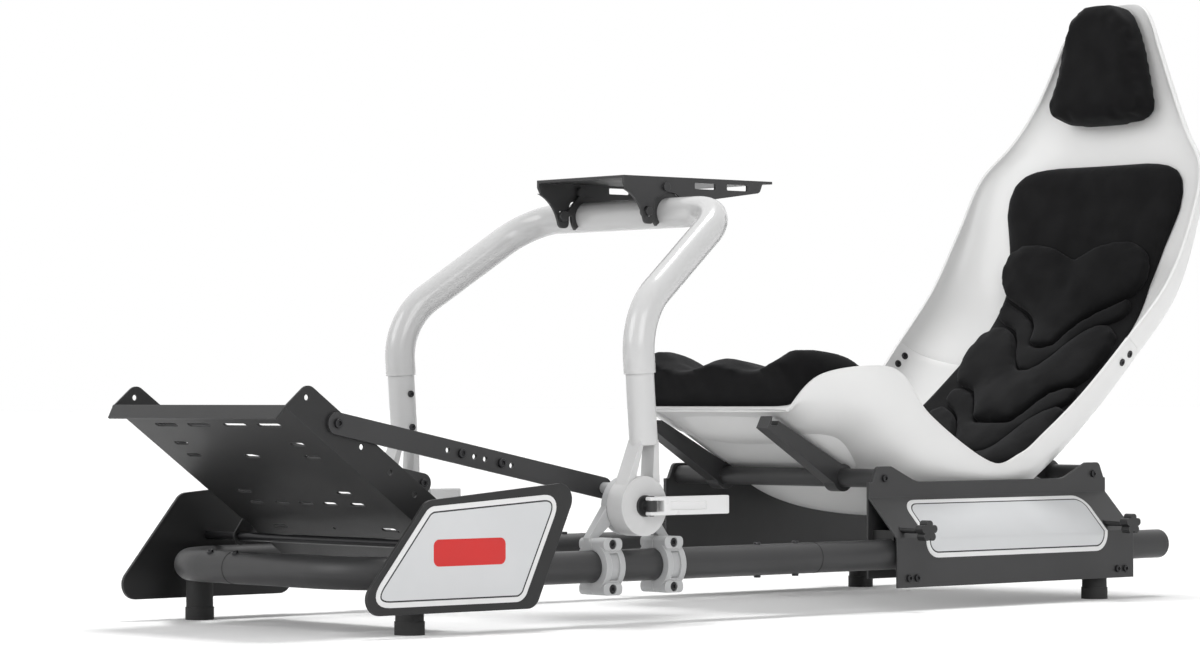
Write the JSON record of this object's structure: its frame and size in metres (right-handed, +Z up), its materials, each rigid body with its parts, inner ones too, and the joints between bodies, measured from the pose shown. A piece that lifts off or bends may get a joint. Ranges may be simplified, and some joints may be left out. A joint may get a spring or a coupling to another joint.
{
  "type": "sim racing cockpit",
  "caption": "Racing simulator cockpit: black tube floor frame, sliding white bucket seat with dark pads, tilting white wheel hoop with a wheel deck, and a sloping pedal deck.",
  "frame": {"origin": "on the floor, under the middle of the cockpit's length and width", "axes": "+X forward to the pedals, +Y to the driver's left, +Z up"},
  "size_m": [1.8917, 0.67, 0.972],
  "materials": {
    "black_coat": "matte black powder coat",
    "white_coat": "white gloss paint",
    "casting": "light grey painted casting",
    "shell": "white satin moulding",
    "suede": "black suede-like cloth",
    "rubber": "black rubber",
    "plastic": "black moulded plastic",
    "steel": "dark zinc-plated steel"
  },
  "bodies": {
    "frame": {"clamp_cap_front_left": "casting", "clamp_cap_front_right": "casting", "clamp_cap_rear_left": "casting", "clamp_cap_rear_right": "casting", "foot_front_left": "rubber", "foot_front_right": "rubber", "foot_rear_left": "rubber", "foot_rear_right": "rubber", "nose_board_left": "black_coat", "nose_board_right": "black_coat", "nose_tube": "black_coat", "pedal_axle": "steel", "pedal_deck": "black_coat", "pedal_strut_left": "black_coat", "pedal_strut_right": "black_coat", "pivot_base_left": "casting", "pivot_base_right": "casting", "rail_left": "black_coat", "rail_right": "black_coat"},
    "hoop": {"deck_bracket_left": "black_coat", "deck_bracket_right": "black_coat", "hoop_knuckle_left": "casting", "hoop_knuckle_right": "casting", "pivot_pin_left": "steel", "pivot_pin_right": "steel", "wheel_hoop": "white_coat"},
    "deck": {"wheel_deck": "black_coat"},
    "seat": {"back_pad": "suede", "head_pad": "suede", "lumbar_pad": "suede", "seat_arm_left": "black_coat", "seat_arm_right": "black_coat", "seat_back": "shell", "seat_clip_left": "black_coat", "seat_clip_right": "black_coat", "seat_glide_left": "plastic", "seat_glide_right": "plastic", "seat_pan": "shell", "seat_slide_left": "black_coat", "seat_slide_right": "black_coat", "seat_tube_front": "black_coat", "seat_tube_rear": "black_coat", "thigh_cushion": "suede"},
    "knob_front_left_body": {"knob_front_left": "plastic"},
    "knob_front_right_body": {"knob_front_right": "plastic"},
    "knob_rear_left_body": {"knob_rear_left": "plastic"},
    "knob_rear_right_body": {"knob_rear_right": "plastic"},
    "lever_left_body": {"lever_left": "casting"},
    "lever_right_body": {"lever_right": "casting"}
  },
  "joints": [
    {"name": "hoop_tilt", "type": "hinge", "parent": "frame", "child": "hoop", "pos_m": [0.376, 0, 0.165], "axis": [0, 1, 0], "range_deg": [-8, 40]},
    {"name": "wheel_deck_tilt", "type": "hinge", "parent": "hoop", "child": "deck", "pos_m": [0.165, 0, 0.625], "axis": [0, 1, 0], "range_deg": [-5, 5]},
    {"name": "seat_slide", "type": "slide", "parent": "frame", "child": "seat", "axis": [1, 0, 0], "range_m": [-0.07, 0.15]},
    {"name": "lever_left_swing", "type": "hinge", "parent": "hoop", "child": "lever_left_body", "pos_m": [0.376, 0.301, 0.165], "axis": [0, 0, -1], "range_deg": [0, 110]},
    {"name": "knob_front_left_turn", "type": "hinge", "parent": "seat", "child": "knob_front_left_body", "pos_m": [-0.144, 0.3, 0.118], "axis": [0, 1, 0], "continuous": true},
    {"name": "knob_rear_left_turn", "type": "hinge", "parent": "seat", "child": "knob_rear_left_body", "pos_m": [-0.597, 0.3, 0.118], "axis": [0, 1, 0], "continuous": true},
    {"name": "lever_right_swing", "type": "hinge", "parent": "hoop", "child": "lever_right_body", "pos_m": [0.376, -0.301, 0.165], "axis": [0, 0, 1], "range_deg": [0, 110]},
    {"name": "knob_front_right_turn", "type": "hinge", "parent": "seat", "child": "knob_front_right_body", "pos_m": [-0.144, -0.3, 0.118], "axis": [0, -1, 0], "continuous": true},
    {"name": "knob_rear_right_turn", "type": "hinge", "parent": "seat", "child": "knob_rear_right_body", "pos_m": [-0.597, -0.3, 0.118], "axis": [0, -1, 0], "continuous": true}
  ]
}
